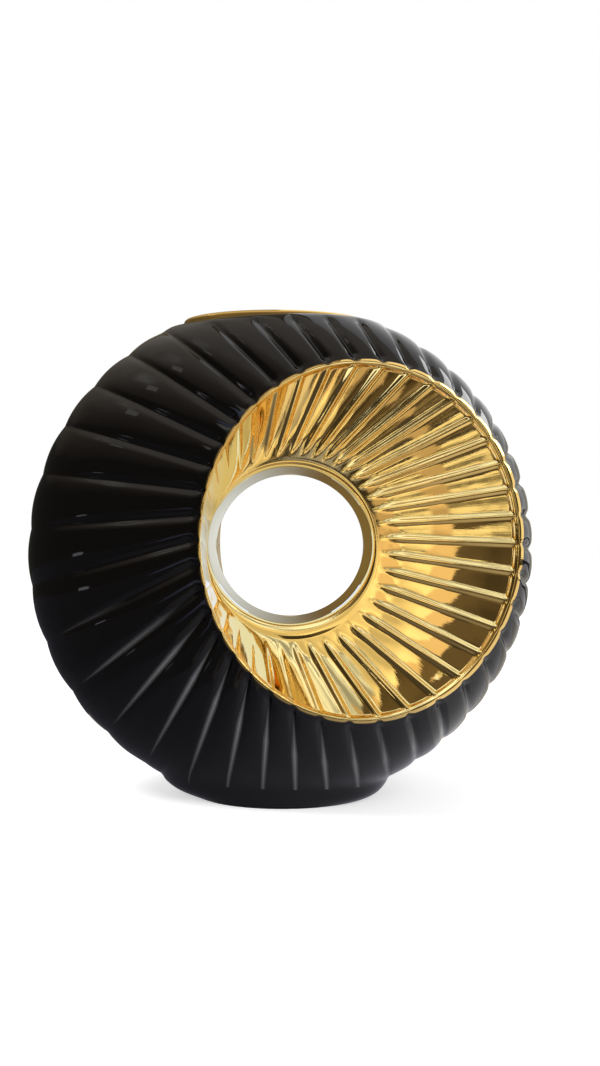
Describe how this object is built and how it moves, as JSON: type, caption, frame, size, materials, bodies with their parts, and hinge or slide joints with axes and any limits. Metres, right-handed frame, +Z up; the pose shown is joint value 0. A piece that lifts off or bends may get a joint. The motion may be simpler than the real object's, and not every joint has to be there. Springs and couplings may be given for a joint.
{
  "type": "donut vase",
  "caption": "Upright ring-shaped ceramic vase, black and fluted outside, with an off-centre gold fluted funnel on each side, a round hole through it, an oval mouth on top and an oval foot.",
  "frame": {"origin": "middle of the foot's underside, on the surface that the vase stands on", "axes": "+X to the right seen from the front, towards the side where the rim comes close to the edge; +Y to the back through the hole; +Z up to the mouth"},
  "size_m": [0.2494, 0.1, 0.2383],
  "materials": {
    "black_glaze": "glossy black glaze on fired clay",
    "gold_lustre": "mirror gold lustre over glaze",
    "gold_lip": "brushed-on gold lustre band",
    "bare_clay": "unglazed fired clay"
  },
  "bodies": {
    "root": {"front_shell": "black_glaze", "back_shell": "black_glaze", "front_crater": "gold_lustre", "back_crater": "gold_lustre", "throat_ring": "gold_lustre", "mouth_collar": "gold_lip", "foot_ring": "black_glaze", "base_plate": "bare_clay"}
  },
  "joints": []
}
